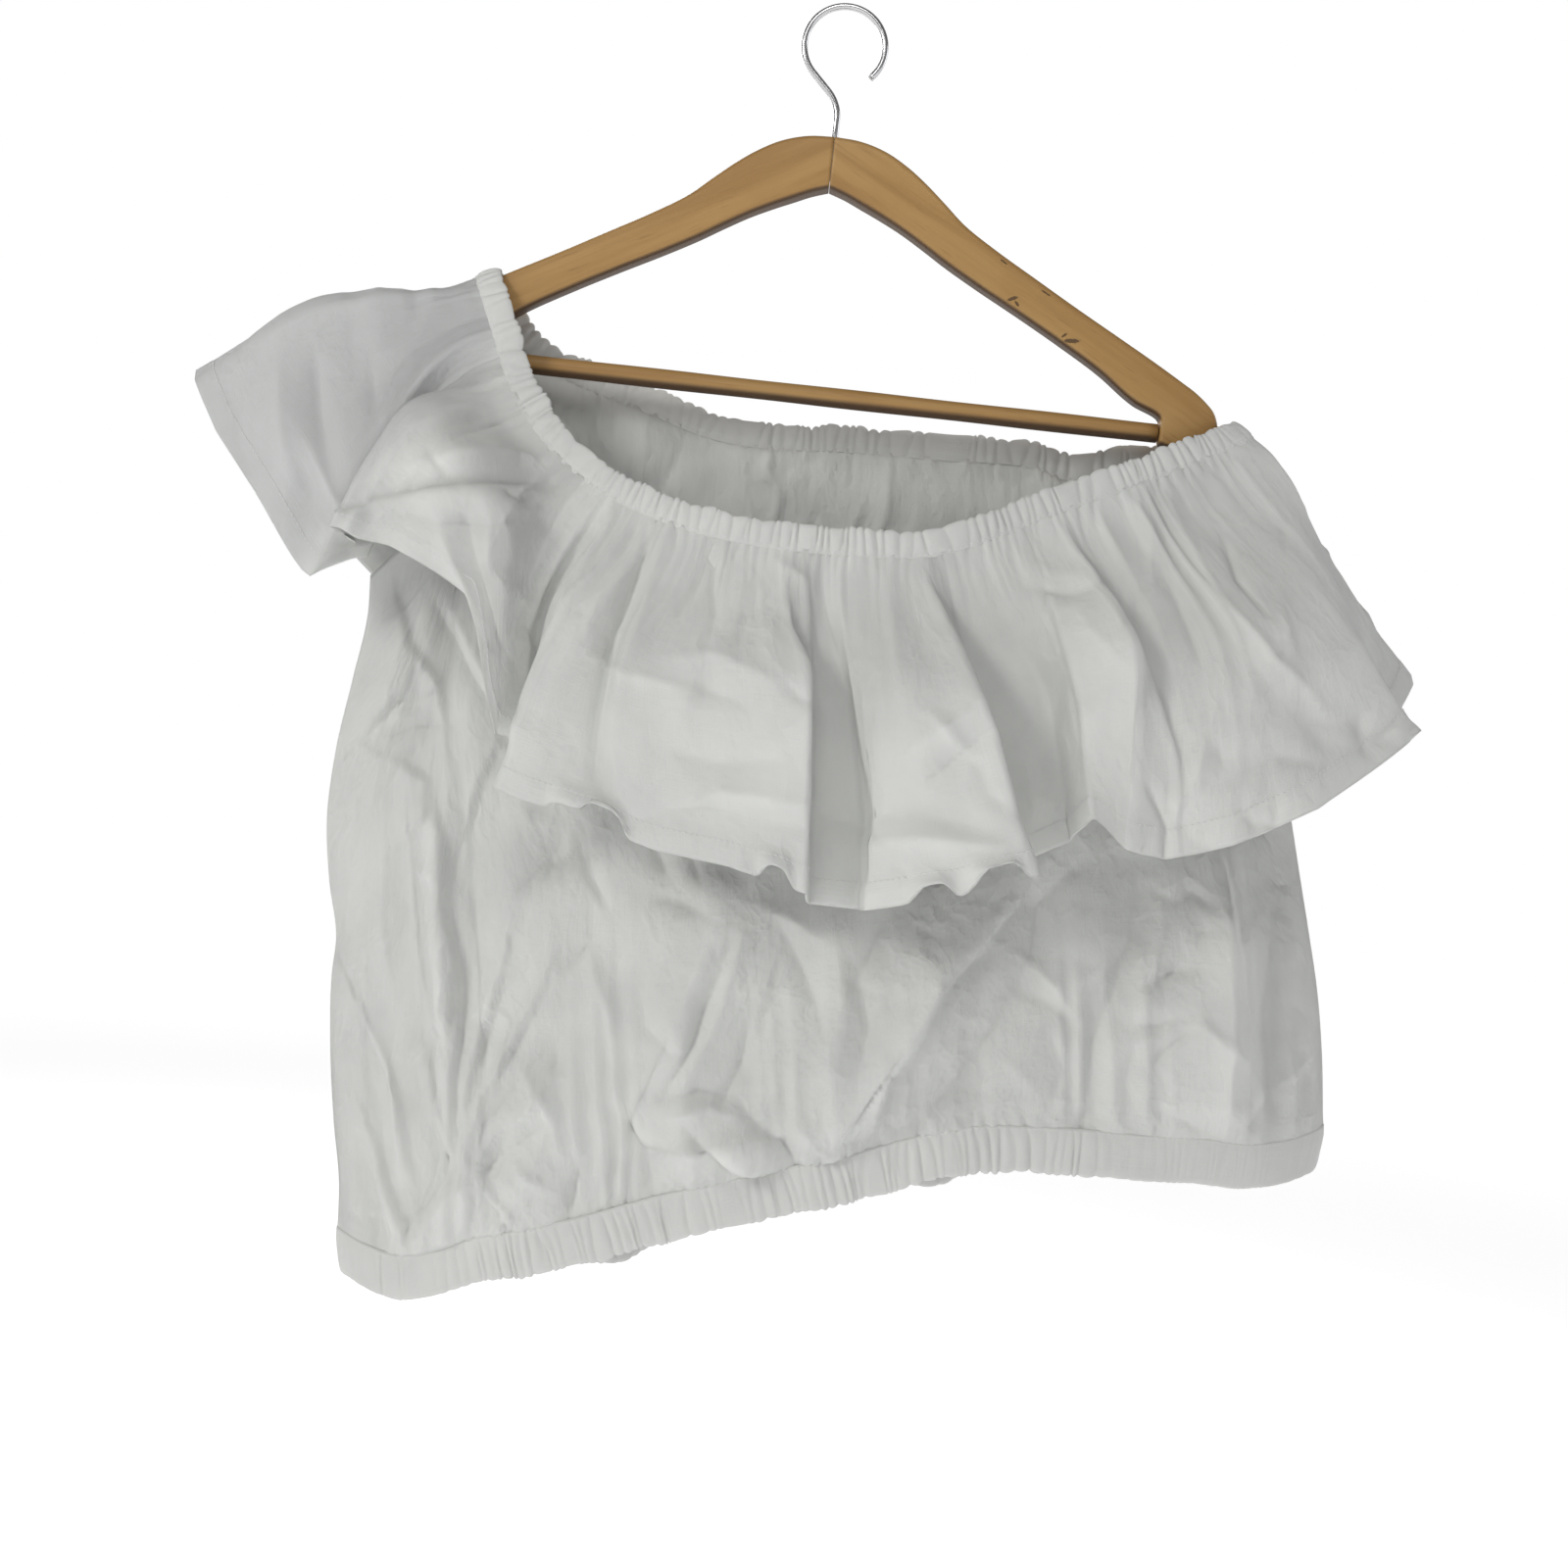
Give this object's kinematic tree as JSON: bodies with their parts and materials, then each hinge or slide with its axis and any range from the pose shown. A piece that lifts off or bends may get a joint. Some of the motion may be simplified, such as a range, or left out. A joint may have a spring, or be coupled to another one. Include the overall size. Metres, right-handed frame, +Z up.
{
  "type": "off-shoulder top on a wooden hanger",
  "caption": "White cotton off-shoulder top with a deep gathered flounce and an elastic hem, hung askew on a wooden trouser hanger.",
  "frame": {"origin": "the point at the top of the inside of the hanger's hook, where a rail carries it", "axes": "+X to the right as seen from the front, +Y to the back, +Z up along the hook's shank"},
  "size_m": [0.6679, 0.1773, 0.7143],
  "materials": {
    "cotton": "crisp plain-woven cotton, matt, slightly see-through",
    "casing_cotton": "the same cotton, doubled over elastic and gathered",
    "honey_wood": "satin varnished honey-brown wood, nicked",
    "steel": "polished steel wire"
  },
  "bodies": {
    "root": {"front_body": "cotton", "back_body": "cotton", "front_flounce": "cotton", "back_flounce": "cotton", "neck_casing_front": "casing_cotton", "neck_casing_back": "casing_cotton", "hem_casing_front": "casing_cotton", "hem_casing_back": "casing_cotton", "hanger_arm_left": "honey_wood", "hanger_arm_right": "honey_wood", "hanger_bar": "honey_wood", "hanger_hook": "steel"}
  },
  "joints": []
}
